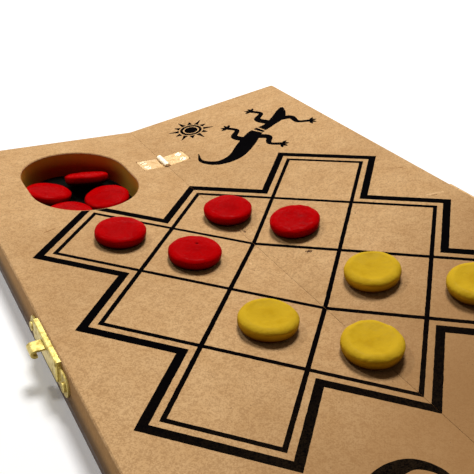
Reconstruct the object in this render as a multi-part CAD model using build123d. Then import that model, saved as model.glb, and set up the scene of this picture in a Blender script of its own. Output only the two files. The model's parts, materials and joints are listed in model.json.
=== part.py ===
from build123d import *
import os
from math import cos, radians, sin, sqrt, tan

# A folding queah board: two equal halves of fibreboard on dark hardboard backs, joined by two
# brass butt hinges and closed by a hasp that swings over a hooked catch. Millimetres.
# Row frame: origin at the centre of the left half's underside, +Y along the fold, +Z up.
# Panel frame: Y along the fold line, the panel on the -X side, the play face at Z = 0.

# Driving sizes of one half
half_width = 88.0
board_length = 300.0
top_thickness = 12.0
base_thickness = 3.0
corner_radius = 1.5
edge_break = 0.4
fold_gap = 0.05
axis_raise = 0.2
rest_lift = 10.9
stop_clearance = 0.03

# Pocket for the men held in reserve, and its felt floor
pocket_from_fold = 42.5
pocket_from_end = 44.9
pocket_radius = 23.65
pocket_straight = 13.8
pocket_arris = 0.4
felt_thickness = 0.4
felt_side_gap = 0.3

# Printed board: 13 slanting cells inside a stepped outline
cell_size = 33.6
cell_rings = 2
thin_line = 1.6
outline_line = 3.0
outline_distance = 3.0
ink_thickness = 0.1
ink_pocket_gap = 0.3

# Men
disc_radius = 10.25
disc_thickness = 5.4
disc_rounding = 2.0
seat_gap = 0.02
pile_gap = 0.3
pile_wall_gap = 0.4
pile_seat_gap = 0.06
near_angle = 218.5
inner_angle = 18.0
far_angle = 96.5
lean_angles = {"near": (-5, 0), "outer": (-3, 9), "inner": (0, -8), "far": (-20, 3)}
off_centre = {
    "red_disc_1": (1.3, -1.0),
    "red_disc_2": (-4.5, -0.5),
    "red_disc_3": (2.0, 0.7),
    "red_disc_4": (-2.3, -0.6),
    "yellow_disc_1": (-0.7, 3.4),
    "yellow_disc_2": (0.3, -0.5),
    "yellow_disc_3": (-0.9, -2.2),
    "yellow_disc_4": (-1.1, 0.8),
}

# Butt hinges
hinge_from_end = 42.0
hinge_length = 10.0
leaf_reach = 12.0
leaf_thickness = 0.8
leaf_corner = 1.2
mortise_gap = 0.1
knuckle_radius = 1.5
middle_knuckle = 3.8
knuckle_gap = 0.1
knuckle_clearance = 0.25
pin_radius = 0.6
pin_clearance = 0.04
countersunk_radius = 1.7
hinge_screw_radius = 0.9
hinge_screw_length = 7.0
hinge_screw_inset = 2.8
hinge_screw_spacing = 5.4
screw_clearance = 0.03
slot_width = 0.5
slot_depth = 0.3
slot_turn = 25

# Catch and hasp, on the outer walls; heights are measured down from the play face
plate_thickness = 0.8
plate_top = 0.5
plate_height = 10.0
plate_body = 24.0
ear_span = 39.0
ear_height = 8.0
ear_screw_span = 33.0
pan_radius = 1.7
pan_height = 0.9
wall_screw_radius = 0.8
wall_screw_length = 7.0
boss_depth = 7.5
boss_proud = 1.9
boss_rounding = 0.6
lip_width = 5.0
lip_thickness = 0.8
lip_top = 2.2
lip_reach = 5.2
lip_bend = 1.1
lip_return = 0.8
hasp_axis_out = 2.6
hasp_axis_down = 3.9
hasp_plate_top = 1.2
hasp_barrel = 14.0
hasp_knuckle_gap = 0.2
tongue_thickness = 0.8
tongue_length = 11.1
tongue_corner = 1.5
tongue_slot_width = 6.4
tongue_slot_start = 5.0
tongue_slot_end = 9.8
tongue_slot_corner = 0.8
finger_lip = 1.0

# Sizes that follow
board_height = base_thickness + top_thickness
pocket_along = board_length / 2 - pocket_from_end
hinge_from_middle = board_length / 2 - hinge_from_end
fold_x = half_width / 2
floor_level = -top_thickness + felt_thickness
half_lift = radians(rest_lift / 2)
base_overhang = (top_thickness + axis_raise) * tan(half_lift) - stop_clearance
side_knuckle = (hinge_length - middle_knuckle) / 2 - knuckle_gap
leaf_start = knuckle_radius + knuckle_clearance
relief_depth = knuckle_radius - axis_raise + knuckle_clearance + mortise_gap
bore_radius = pin_radius + pin_clearance

# Places of the three frames that carry pieces
fold_axis = Location((fold_x, 0, board_height + axis_raise))
left_face = Location((fold_x, 0, board_height))
right_face = fold_axis * Rot(0, -rest_lift, 0) * Location((0, 0, -axis_raise))
right_panel = right_face * Rot(0, 0, 180)


def panel_slab(low, high, fold_edge):
    """A flat board from the outer wall to fold_edge, with its two outer corners rounded."""
    outline = Pos((fold_edge - half_width) / 2, 0) * Rectangle(half_width + fold_edge, board_length)
    outer = outline.vertices().sort_by(Axis.X)[:2]
    return Pos(0, 0, low) * extrude(fillet(outer, corner_radius), high - low)


def pocket_outline(gap):
    """The pocket's plan, drawn in by gap: a slot with round ends."""
    slot = SlotCenterToCenter(pocket_straight, 2 * (pocket_radius - gap), rotation=90)
    return Pos(-pocket_from_fold, pocket_along) * slot


def cylinder_y(radius, length):
    """A round bar along Y, centred on the origin."""
    return Rot(90, 0, 0) * Cylinder(radius, length)


def hinge_places():
    """The two hinges' middles on the fold line at play-face level, front one first."""
    return [Pos(0, side * hinge_from_middle, 0) for side in (-1, 1)]


def hinge_screw_places():
    """Head tops of one leaf's two screws, in the hinge's own frame."""
    across = -leaf_reach + hinge_screw_inset
    return [Pos(across, side * hinge_screw_spacing / 2, 0) for side in (-1, 1)]


def countersunk_form(gap):
    """A countersunk screw's solid, grown by gap, with its flat head at Z = 0."""
    head_low = hinge_screw_radius + gap
    head = Cone(head_low, countersunk_radius + gap, leaf_thickness)
    shank = Cylinder(head_low, hinge_screw_length + gap)
    shank_middle = -leaf_thickness - (hinge_screw_length + gap) / 2
    return Pos(0, 0, -leaf_thickness / 2) * head + Pos(0, 0, shank_middle) * shank


def wall_frame():
    """The outer wall's middle at play-face level: X out of the wall, Y along it, Z up."""
    return Location((-half_width, 0, 0)) * Rot(0, 0, 180)


def ear_screw_places():
    """Seats of the two wall screws on a plate's ears, in the wall frame."""
    down = -plate_top - plate_height + ear_height / 2
    return [Pos(plate_thickness, side * ear_screw_span / 2, down) for side in (-1, 1)]


def wall_screw_form(gap):
    """A pan-head screw driven into the wall along -X, seated at X = 0, grown by gap."""
    turn = Rot(0, 90, 0)
    length = wall_screw_length + plate_thickness + gap
    return Pos(-length / 2, 0, 0) * turn * Cylinder(wall_screw_radius + gap, length)


# The two boards and their backs
def board():
    """One half's top board, its edges broken but at the fold, with pocket and mortises."""
    body = panel_slab(-top_thickness, 0, -fold_gap)
    top_edges = body.faces().sort_by(Axis.Z)[-1].edges().sort_by(Axis.X)
    body = chamfer(top_edges[:-1], edge_break)
    body -= extrude(pocket_outline(0), top_thickness, both=True)
    body = chamfer(body.faces().sort_by(Axis.Z)[-1].inner_wires()[0].edges(), pocket_arris)
    for place in hinge_places():
        reach = leaf_reach + mortise_gap
        mortise = Box(reach, hinge_length + 2 * mortise_gap, leaf_thickness)
        relief_width = leaf_start + mortise_gap
        relief = Box(relief_width, hinge_length + 2 * knuckle_clearance, relief_depth)
        body -= place * Pos(-reach / 2, 0, -leaf_thickness / 2) * mortise
        body -= place * Pos(-relief_width / 2, 0, -relief_depth / 2) * relief
        for screw in hinge_screw_places():
            body -= place * screw * countersunk_form(screw_clearance)
    for screw in ear_screw_places():
        body -= wall_frame() * screw * wall_screw_form(screw_clearance)
    return body


def base():
    """One half's back, which runs past the fold line and meets the other as the opening stop."""
    return panel_slab(-board_height, -top_thickness, base_overhang)


def felt():
    """The pocket's felt floor, laid on the base."""
    return Pos(0, 0, -top_thickness) * extrude(pocket_outline(felt_side_gap), felt_thickness)


# The print
def cell_centres():
    """Centres of the cells, in a diamond of rings about the middle of the board."""
    step = cell_size / sqrt(2)
    span = range(-cell_rings, cell_rings + 1)
    cells = [(i, j) for i in span for j in span if abs(i) + abs(j) <= cell_rings]
    return [(step * (i - j), -step * (i + j)) for i, j in cells]


def cell_region(growth):
    """All cells as one region, each grown by growth on every side."""
    square = Rot(0, 0, 45) * Rectangle(cell_size + 2 * growth, cell_size + 2 * growth)
    region = Sketch()
    for x, y in cell_centres():
        region += Pos(x, y) * square
    return region


def grid_print():
    """The printed lines that lie on one half."""
    grid = cell_region(thin_line / 2)
    hole = Rot(0, 0, 45) * Rectangle(cell_size - thin_line, cell_size - thin_line)
    for x, y in cell_centres():
        grid -= Pos(x, y) * hole
    outline = cell_region(outline_distance + outline_line) - cell_region(outline_distance)
    side = Pos(-half_width / 2 - fold_gap, 0) * Rectangle(half_width, board_length)
    lines = ((grid + outline) & side) - pocket_outline(-ink_pocket_gap - pocket_arris)
    return extrude(lines, ink_thickness)


# The hinges
def hinge_leaf(own_knuckles, other_knuckles):
    """One leaf with its own knuckles; each knuckle is a (middle, length) pair along the pin."""
    plate = Pos(-leaf_reach / 2, 0) * Rectangle(leaf_reach, hinge_length)
    plate = fillet(plate.vertices().sort_by(Axis.X)[:2], leaf_corner)
    leaf = Pos(0, 0, -leaf_thickness) * extrude(plate, leaf_thickness)
    for middle, length in other_knuckles:
        room = Box(2 * leaf_start, length + 2 * knuckle_gap, 4 * knuckle_radius)
        leaf -= Pos(0, middle, 0) * room
    for middle, length in own_knuckles:
        leaf += Pos(0, middle, axis_raise) * cylinder_y(knuckle_radius, length)
    leaf -= Pos(0, 0, axis_raise) * cylinder_y(bore_radius, 2 * hinge_length)
    for screw in hinge_screw_places():
        leaf -= screw * countersunk_form(screw_clearance)
    return leaf


def side_knuckles():
    """The two outer knuckles, on the left leaves."""
    middle = (hinge_length - side_knuckle) / 2
    return [(-middle, side_knuckle), (middle, side_knuckle)]


def countersunk_screw():
    """A slotted countersunk screw with its head's top at Z = 0."""
    slot = Box(4 * countersunk_radius, slot_width, 2 * slot_depth)
    return countersunk_form(0) - Rot(0, 0, slot_turn) * slot


def hinge_screws():
    """All countersunk screws of one half."""
    screw = countersunk_screw()
    return [hinge * place * screw for hinge in hinge_places() for place in hinge_screw_places()]


# The catch and the hasp, in the wall frame
def mounting_plate(top):
    """A flat plate with two round-ended ears, its upper edge at top below the play face."""
    low = -plate_top - plate_height
    middle = (low - top) / 2
    ears_middle = low + ear_height / 2
    flat = Pos(0, middle) * RectangleRounded(plate_body, -top - low, corner_radius)
    flat += Pos(0, ears_middle) * SlotOverall(ear_span, ear_height)
    plate = Plane(origin=(0, 0, 0), x_dir=(0, 1, 0), z_dir=(1, 0, 0)) * extrude(flat, plate_thickness)
    for screw in ear_screw_places():
        plate -= screw * wall_screw_form(screw_clearance)
    return plate


def catch_lip():
    """The curled lip: a strip that runs out, bends down and turns back, drawn in the XZ plane."""
    lower = -lip_top - 2 * lip_bend
    crest = (lip_reach + lip_bend, -lip_top - lip_bend)
    run = Edge.make_line((boss_proud - boss_rounding, -lip_top), (lip_reach, -lip_top))
    bend = Edge.make_three_point_arc((lip_reach, -lip_top), crest, (lip_reach, lower))
    back = Edge.make_line((lip_reach, lower), (lip_reach - lip_return, lower))
    profile = Plane.XZ * trace(Curve([run, bend, back]), lip_thickness)
    return extrude(profile, lip_width / 2, both=True)


def catch_plate():
    """The catch: plate, raised boss and the lip that holds the tongue."""
    boss = Box(boss_proud, plate_body, boss_depth)
    boss = fillet(boss.faces().sort_by(Axis.X)[-1].edges(), boss_rounding)
    boss = Pos(boss_proud / 2, 0, -plate_top - boss_depth / 2) * boss
    return mounting_plate(plate_top) + boss + catch_lip()


def hasp_plate():
    """The hasp's plate, with a strapped knuckle on each side of the tongue."""
    body = mounting_plate(hasp_plate_top)
    length = plate_body / 2 - hasp_barrel / 2 - hasp_knuckle_gap
    strap = Box(hasp_axis_out, length, plate_thickness)
    strap_down = -hasp_axis_down - knuckle_radius + plate_thickness / 2
    for side in (-1, 1):
        middle = side * (plate_body - length) / 2
        body += Pos(hasp_axis_out / 2, middle, strap_down) * strap
        body += Pos(hasp_axis_out, middle, -hasp_axis_down) * cylinder_y(knuckle_radius, length)
    return body - Pos(hasp_axis_out, 0, -hasp_axis_down) * cylinder_y(bore_radius, 2 * plate_body)


def hasp_tongue():
    """The slotted tongue, hanging from its barrel against the wall."""
    flat = Pos(0, -tongue_length / 2) * Rectangle(hasp_barrel, tongue_length)
    flat = fillet(flat.vertices().sort_by(Axis.Y)[:2], tongue_corner)
    slot_height = tongue_slot_end - tongue_slot_start
    slot = RectangleRounded(tongue_slot_width, slot_height, tongue_slot_corner)
    flat -= Pos(0, -tongue_slot_start - slot_height / 2) * slot
    sheet = Plane(origin=(0, 0, 0), x_dir=(0, 1, 0), z_dir=(1, 0, 0)) * flat
    body = extrude(sheet, tongue_thickness / 2, both=True) + cylinder_y(knuckle_radius, hasp_barrel)
    curl = Box(finger_lip + tongue_thickness, hasp_barrel - 2 * tongue_corner, tongue_thickness)
    body += Pos(-finger_lip / 2, 0, -tongue_length + tongue_thickness / 2) * curl
    body -= cylinder_y(bore_radius, 2 * hasp_barrel)
    return Pos(hasp_axis_out, 0, -hasp_axis_down) * body


def hasp_pin():
    """The pin through the hasp's knuckles and the tongue's barrel."""
    return Pos(hasp_axis_out, 0, -hasp_axis_down) * cylinder_y(pin_radius, plate_body)


def wall_screws():
    """The two slotted pan-head screws of one wall plate."""
    head = Rot(0, 90, 0) * Cylinder(pan_radius, pan_height)
    head = fillet(head.faces().sort_by(Axis.X)[-1].edges(), pan_height / 3)
    head = Pos(pan_height / 2, 0, 0) * head
    slot = Pos(pan_height, 0, 0) * Rot(slot_turn, 0, 0) * Box(2 * slot_depth, slot_width, 4 * pan_radius)
    screw = wall_screw_form(0) + head - slot
    return [place * screw for place in ear_screw_places()]


# The men
def disc():
    """One round-edged wooden man, centred on the origin."""
    blank = Cylinder(disc_radius, disc_thickness)
    return fillet(blank.edges().filter_by(GeomType.CIRCLE), disc_rounding)


def on_left(across, along):
    """A man flat on the left play face."""
    return left_face * Pos(across, along, seat_gap + disc_thickness / 2)


def on_right(across, along):
    """A man flat on the right play face."""
    return right_face * Pos(across, along, seat_gap + disc_thickness / 2)


def on_fold(across, along):
    """A man that bridges the fold, resting on its rounded edge on the nearer slope."""
    flat_radius = disc_radius - disc_rounding
    rise = disc_rounding / cos(half_lift) - disc_rounding - axis_raise / cos(half_lift)
    rise += (flat_radius + abs(across)) * tan(half_lift)
    middle = Rot(0, -rest_lift / 2, 0)
    return fold_axis * middle * Pos(across, along, rise + seat_gap + disc_thickness / 2)


def leaning_height(lean_x, lean_y):
    """Height of a leaning man's centre over what its lowest edge rests on."""
    upright = cos(radians(lean_x)) * cos(radians(lean_y))
    half_core = disc_thickness / 2 - disc_rounding
    flat_radius = disc_radius - disc_rounding
    return disc_rounding + half_core * upright + flat_radius * sqrt(1 - upright * upright)


def towards(angle, distance):
    """The step of that length at that angle from the panel frame's X."""
    return Vector(cos(radians(angle)), sin(radians(angle))) * distance


def pile():
    """Four men leaning in a pocket: one at its near end, the others against it and each other."""
    spacing = 2 * disc_radius + pile_gap
    reach = pocket_radius - disc_radius - pile_wall_gap
    middle = Vector(-pocket_from_fold, pocket_along)
    near = middle - Vector(0, pocket_straight / 2) + towards(near_angle, reach)
    outer_across = middle.X - reach
    outer_along = near.Y + sqrt(spacing**2 - (outer_across - near.X) ** 2)
    inner = near + towards(inner_angle, spacing)
    far = inner + towards(far_angle, spacing)
    centres = {"near": near, "outer": Vector(outer_across, outer_along), "inner": inner, "far": far}
    places = []
    for name, centre in centres.items():
        lean = lean_angles[name]
        height = floor_level + pile_seat_gap + leaning_height(*lean)
        places.append(Pos(centre.X, centre.Y, height) * Rot(*lean, 0))
    return places


def men_in_play():
    """The men on the board: each on a cell counted in half diagonals, a little off its centre."""
    cells = {
        "red_disc_1": (on_fold, 0, 2),
        "red_disc_2": (on_right, 1, 1),
        "red_disc_3": (on_left, -2, 2),
        "red_disc_4": (on_left, -1, 1),
        "yellow_disc_1": (on_right, 1, -1),
        "yellow_disc_2": (on_left, -1, -1),
        "yellow_disc_3": (on_fold, 0, -2),
        "yellow_disc_4": (on_right, 2, -2),
    }
    step = cell_size / sqrt(2)
    places = {}
    for name, (seat, across, along) in cells.items():
        off_across, off_along = off_centre[name]
        places[name] = seat(across * step + off_across, along * step + off_along)
    return places


def men():
    """Every man's node name and place: four in play and four in reserve on each side."""
    places = men_in_play()
    for number, place in enumerate(pile(), 5):
        places[f"red_disc_{number}"] = left_face * place
        places[f"yellow_disc_{number}"] = right_panel * place
    return places


# The nodes
def half_nodes(side, panel, knuckles, others):
    """The pieces that both halves have, placed by the panel's frame."""
    leaf = hinge_leaf(knuckles, others)
    front, back = [panel * place * leaf for place in hinge_places()]
    if side == "right":
        front, back = back, front
    return {
        f"{side}_board": panel * board(),
        f"{side}_base": panel * base(),
        f"{side}_pocket_felt": panel * felt(),
        f"{side}_grid_print": panel * grid_print(),
        f"front_hinge_{side}_leaf": front,
        f"back_hinge_{side}_leaf": back,
        f"hinge_screws_{side}": Compound(children=[panel * screw for screw in hinge_screws()]),
    }


def build():
    """All nodes in the row frame."""
    middle = [(0, middle_knuckle)]
    nodes = half_nodes("left", left_face, side_knuckles(), middle)
    nodes |= half_nodes("right", right_panel, middle, side_knuckles())
    for name, place in zip(("front", "back"), hinge_places()):
        nodes[f"{name}_hinge_pin"] = fold_axis * place * cylinder_y(pin_radius, hinge_length)
    left_wall = left_face * wall_frame()
    right_wall = right_panel * wall_frame()
    nodes["catch_plate"] = left_wall * catch_plate()
    nodes["catch_screws"] = Compound(children=[left_wall * screw for screw in wall_screws()])
    nodes["hasp_plate"] = right_wall * hasp_plate()
    nodes["hasp_screws"] = Compound(children=[right_wall * screw for screw in wall_screws()])
    nodes["hasp_tongue"] = right_wall * hasp_tongue()
    nodes["hasp_pin"] = right_wall * hasp_pin()
    for name, place in men().items():
        nodes[name] = place * disc()
    return nodes


os.makedirs("parts", exist_ok=True)
for name, shape in build().items():
    export_step(shape, f"parts/{name}.step")
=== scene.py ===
import json
import math

import bmesh
import bpy
import numpy as np
from mathutils import Euler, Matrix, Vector

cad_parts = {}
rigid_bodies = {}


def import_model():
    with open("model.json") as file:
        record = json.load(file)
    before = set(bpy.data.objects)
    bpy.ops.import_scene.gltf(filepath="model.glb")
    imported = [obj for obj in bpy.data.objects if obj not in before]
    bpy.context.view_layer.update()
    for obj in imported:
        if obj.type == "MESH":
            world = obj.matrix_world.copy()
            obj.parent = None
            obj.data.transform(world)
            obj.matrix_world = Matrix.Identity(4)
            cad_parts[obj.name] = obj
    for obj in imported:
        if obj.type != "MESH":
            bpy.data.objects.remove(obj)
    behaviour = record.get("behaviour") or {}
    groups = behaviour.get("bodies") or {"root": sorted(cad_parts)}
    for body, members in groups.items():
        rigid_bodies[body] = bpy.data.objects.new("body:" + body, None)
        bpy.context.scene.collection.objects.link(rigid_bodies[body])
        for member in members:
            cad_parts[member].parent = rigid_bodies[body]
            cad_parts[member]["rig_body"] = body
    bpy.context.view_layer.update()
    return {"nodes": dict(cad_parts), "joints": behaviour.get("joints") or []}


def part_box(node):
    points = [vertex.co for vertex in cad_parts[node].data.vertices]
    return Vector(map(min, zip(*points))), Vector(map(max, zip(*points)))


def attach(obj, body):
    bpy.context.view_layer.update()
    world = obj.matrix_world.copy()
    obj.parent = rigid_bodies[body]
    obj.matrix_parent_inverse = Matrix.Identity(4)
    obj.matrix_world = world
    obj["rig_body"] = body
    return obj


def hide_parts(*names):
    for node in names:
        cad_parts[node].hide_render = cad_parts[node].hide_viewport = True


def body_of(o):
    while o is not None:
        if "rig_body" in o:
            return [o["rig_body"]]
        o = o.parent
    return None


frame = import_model()
nodes = frame["nodes"]
joints = {joint["name"]: joint for joint in frame["joints"]}

# Camera and room
# The camera stands low over the near left corner; its place was worked out from the printed
# squares. A soft lamp hangs above, with two lesser ones. What is seen straight on, mirrored or
# through glass has a white sky and a pale table that turns to white away from the board.
camera_place = (-0.08672, -0.17457, 0.15228)
camera_turn = (60.354, -3.543, -29.780)
sensor_width = 36.0
focal_length = 53.26
nearest_seen = 0.005
camera = bpy.data.objects.new("camera", bpy.data.cameras.new("camera"))
camera.location = camera_place
camera.rotation_euler = Euler([math.radians(angle) for angle in camera_turn])
camera.data.sensor_width = sensor_width
camera.data.lens = focal_length
camera.data.clip_start = nearest_seen
bpy.context.scene.collection.objects.link(camera)
bpy.context.scene.camera = camera
bpy.context.scene.view_settings.view_transform = "Standard"

lamps = {
    "window_above": (0.40, 14.9, (0.32, 0.52, 1.21)),
    "window_behind": (0.10, 1.0, (0.30, 0.93, 0.87)),
    "window_beside": (0.12, 2.4, (-0.30, 0.60, 0.85)),
}
lamp_aim = Vector((0.04, 0.0, 0.0))
for name, (size, power, place) in lamps.items():
    lamp = bpy.data.objects.new(name, bpy.data.lights.new(name, "AREA"))
    lamp.data.shape = "DISK"
    lamp.data.size = size
    lamp.data.energy = power
    lamp.location = place
    lamp.rotation_euler = (lamp_aim - Vector(place)).to_track_quat("-Z", "Y").to_euler()
    bpy.context.scene.collection.objects.link(lamp)

white = (1.0, 1.0, 1.0, 1.0)
sky_level = 0.075
sky_tint = (1.0, 0.82, 0.64, 1.0)
table_width = 4.0
table_white = (0.93, 0.93, 0.93, 1.0)
table_rough = 0.8
table_gap = 0.00004
near_glow = 0.14
far_glow = 1.0
glow_starts = 0.22
glow_ends = 0.90


def put(tree, kind, inputs=None, **settings):
    """Adds a node with its settings; an input is a plain value or the socket that feeds it."""
    node = tree.nodes.new(kind)
    for name, value in settings.items():
        setattr(node, name, value)
    for name, value in (inputs or {}).items():
        if isinstance(value, bpy.types.NodeSocket):
            tree.links.new(value, node.inputs[name])
        else:
            node.inputs[name].default_value = value
    return node


def number_step(tree, operation, first, second):
    """One step of arithmetic on two numbers."""
    return put(tree, "ShaderNodeMath", {0: first, 1: second}, operation=operation).outputs[0]


def vector_step(tree, operation, first, second=None):
    """One step of arithmetic on vectors; gives a number where the step measures something."""
    socket = 3 if operation == "SCALE" else 1
    inputs = {0: first} if second is None else {0: first, socket: second}
    node = put(tree, "ShaderNodeVectorMath", inputs, operation=operation)
    measures = operation in ("LENGTH", "DISTANCE", "DOT_PRODUCT")
    return node.outputs["Value" if measures else "Vector"]


def looked_at(tree):
    """1 for what is seen straight on, through glass or mirrored in a gloss, and 0 otherwise."""
    path = put(tree, "ShaderNodeLightPath")
    seen = number_step(tree, "MAXIMUM", path.outputs["Is Camera Ray"], path.outputs["Is Glossy Ray"])
    return number_step(tree, "MAXIMUM", seen, path.outputs["Is Transmission Ray"])


def object_place(tree):
    """The place on the object, in metres."""
    return put(tree, "ShaderNodeTexCoord").outputs["Object"]


def new_material(name):
    """A material, with its node tree and its surface shader."""
    material = bpy.data.materials.new(name)
    material.use_nodes = True
    return material, material.node_tree, material.node_tree.nodes["Principled BSDF"]


world = bpy.data.worlds.new("pale_room")
world.use_nodes = True
bpy.context.scene.world = world
sky = world.node_tree
sky.nodes.clear()
room_light = put(sky, "ShaderNodeBackground", {"Color": sky_tint, "Strength": sky_level})
backdrop = put(sky, "ShaderNodeBackground", {"Color": white, "Strength": 1.0})
sky_mix = {0: looked_at(sky), 1: room_light.outputs[0], 2: backdrop.outputs[0]}
sky_shown = put(sky, "ShaderNodeMixShader", sky_mix).outputs[0]
put(sky, "ShaderNodeOutputWorld", {"Surface": sky_shown})

corners = np.array([(-1, -1, 0), (1, -1, 0), (1, 1, 0), (-1, 1, 0)]) * table_width / 2
corners[:, 2] = -table_gap
table_mesh = bpy.data.meshes.new("table_top")
table_mesh.from_pydata(corners.tolist(), [], [(0, 1, 2, 3)])
table_top = bpy.data.objects.new("table_top", table_mesh)
bpy.context.scene.collection.objects.link(table_top)
pale, tree, shader = new_material("pale_table")
shader.inputs["Base Color"].default_value = table_white
shader.inputs["Roughness"].default_value = table_rough
shader.inputs["Specular IOR Level"].default_value = 0.0
shader.inputs["Emission Color"].default_value = white
distance = vector_step(tree, "LENGTH", object_place(tree))
fading = {0: distance, 1: glow_starts, 2: glow_ends, 3: near_glow, 4: far_glow}
glow = put(tree, "ShaderNodeMapRange", fading).outputs[0]
tree.links.new(number_step(tree, "MULTIPLY", looked_at(tree), glow), shader.inputs["Emission Strength"])
from_below = put(tree, "ShaderNodeNewGeometry").outputs["Backfacing"]
clear = put(tree, "ShaderNodeBsdfTransparent").outputs[0]
one_sided = put(tree, "ShaderNodeMixShader", {0: from_below, 1: shader.outputs[0], 2: clear})
tree.links.new(one_sided.outputs[0], tree.nodes["Material Output"].inputs["Surface"])
table_mesh.materials.append(pale)


# The two fibreboard halves
# Each half is a 12 mm slab of medium density fibreboard, sawn and routed with a round-ended
# pocket. Its faces have a smooth tan skin of fine fibres; sawn walls are darker. Painted shade
# darkens a belt near the front of the face and the bottom of the cut walls. The pocket walls
# carry a lighter olive as painted light, and the left pocket's far wall a painted red reflection.
half_thickness = 0.015
hinge_pin_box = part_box("front_hinge_pin")
fold_height = (hinge_pin_box[0][2] + hinge_pin_box[1][2]) / 2
fold_across = joints["fold"]["pos_m"][0]
raised_axis = fold_height - half_thickness
raised_angle = math.radians(10.9)
pocket_from_fold = 0.0425
pocket_along = 0.1051
pocket_middle_depth = 0.006

fibre_tan = (0.610, 0.352, 0.146, 1.0)
fibre_pale = (0.800, 0.520, 0.260, 1.0)
fibre_dark = (0.240, 0.100, 0.028, 1.0)
speck_brown = (0.060, 0.024, 0.010, 1.0)
# Real wear and painted shade: the next brown marks worn patches and a belt of painted shade near the
# front.
worn_and_shaded_brown = (0.325, 0.163, 0.058, 1.0)
sawn_brown = (0.440, 0.245, 0.092, 1.0)
# Painted shade: the next grey darkens the bottom of the cut walls.
wall_shade_grey = (0.070, 0.056, 0.048, 1.0)
# Painted light: the next olive brightens the pocket's walls.
pocket_light_olive = (0.720, 0.430, 0.060, 1.0)
# Painted reflection and shade: the next dark red lies low on the left pocket's far wall.
red_bounce_shade = (0.420, 0.014, 0.002, 1.0)

fibre_layers = 5
fibre_first_turn = 0.35
fibre_turn_step = 0.63
fibre_closeness = (420.0, 2600.0, 900.0)
fibre_layer_shift = (7.3, 3.1, 5.7)
fibre_roughness = 0.55
fibre_contrast = (0.40, 0.60)
sway_closeness = 160.0
sway_reach = 0.0016
mottle_closeness = 95.0
mottle_roughness = 0.62
mottle_extent = (0.2, 0.8)
grain_closeness = 1500.0
grain_span = (0.66, 0.74)
clot_closeness = 260.0
clot_span = (0.56, 0.68)


def blend_colour(tree, mask, low, high):
    """A colour that goes from low to high as mask goes from 0 to 1."""
    mix = put(tree, "ShaderNodeMix", {0: mask, 6: low, 7: high}, data_type="RGBA")
    return mix.outputs[2]


def stretch(tree, value, span, result=(0.0, 1.0)):
    """value taken from the two ends of span to the two of result, with soft ends."""
    node = put(tree, "ShaderNodeMapRange", {0: value, 1: span[0], 2: span[1], 3: result[0], 4: result[1]})
    node.interpolation_type = "SMOOTHSTEP"
    return node.outputs[0]


def noise(tree, place, closeness, detail, rough=0.5, output="Fac"):
    """A cloud of values around one half, with closeness lumps to the metre."""
    inputs = {"Vector": place, "Scale": closeness, "Detail": detail, "Roughness": rough}
    return put(tree, "ShaderNodeTexNoise", inputs).outputs[output]


def new_group(name, inputs, outputs):
    """A shader node group with the named sockets; gives the tree and its two end nodes."""
    tree = bpy.data.node_groups.new(name, "ShaderNodeTree")
    for direction, sockets in (("INPUT", inputs), ("OUTPUT", outputs)):
        for label, kind in sockets.items():
            tree.interface.new_socket(label, in_out=direction, socket_type=f"NodeSocket{kind}")
    return tree, tree.nodes.new("NodeGroupInput"), tree.nodes.new("NodeGroupOutput")


def fibre_group():
    """Matted wood fibres: thin stretched noise lying at five angles, over soft mottling, with
    rare specks where fine grain and coarse clots are both high."""
    masks = {"Fibres": "Float", "Mottle": "Float", "Specks": "Float"}
    tree, given, result = new_group("matted_fibres", {"Vector": "Vector"}, masks)
    place = given.outputs[0]
    drift = noise(tree, place, sway_closeness, 2.0, output="Color")
    bent = vector_step(tree, "ADD", place, vector_step(tree, "SCALE", drift, sway_reach))
    total = None
    for layer in range(fibre_layers):
        angle = fibre_first_turn + layer * fibre_turn_step
        turned = put(tree, "ShaderNodeVectorRotate", {"Vector": bent, "Angle": angle}).outputs[0]
        drawn = vector_step(tree, "MULTIPLY", turned, fibre_closeness)
        moved = vector_step(tree, "ADD", drawn, tuple(layer * shift for shift in fibre_layer_shift))
        strands = noise(tree, moved, 1.0, 2.0, fibre_roughness)
        total = strands if total is None else number_step(tree, "ADD", total, strands)
    even = number_step(tree, "MULTIPLY", total, 1.0 / fibre_layers)
    mottle = noise(tree, place, mottle_closeness, 5.0, mottle_roughness)
    grain = stretch(tree, noise(tree, place, grain_closeness, 2.0), grain_span)
    clots = stretch(tree, noise(tree, place, clot_closeness, 2.0), clot_span)
    tree.links.new(stretch(tree, even, fibre_contrast), result.inputs["Fibres"])
    tree.links.new(mottle, result.inputs["Mottle"])
    tree.links.new(number_step(tree, "MULTIPLY", grain, clots), result.inputs["Specks"])
    return tree


matted_fibres = fibre_group()


def fibres_at(tree, place):
    """The outputs of the matted fibres around place."""
    return put(tree, "ShaderNodeGroup", {"Vector": place}, node_tree=matted_fibres).outputs


def raise_grain(tree, shader, height, relief):
    """Bumps the shader's normal by height; relief is the strength and the full height in metres."""
    bump = put(tree, "ShaderNodeBump", {"Height": height, "Strength": relief[0], "Distance": relief[1]})
    tree.links.new(bump.outputs[0], shader.inputs["Normal"])


cloud_extent = (0.3, 0.7)
ragged_closeness = 2200.0
ragged_half = (0.15, 0.85)
mark_edge = (1.2, 0.6)
shortest_run = 1e-9


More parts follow.
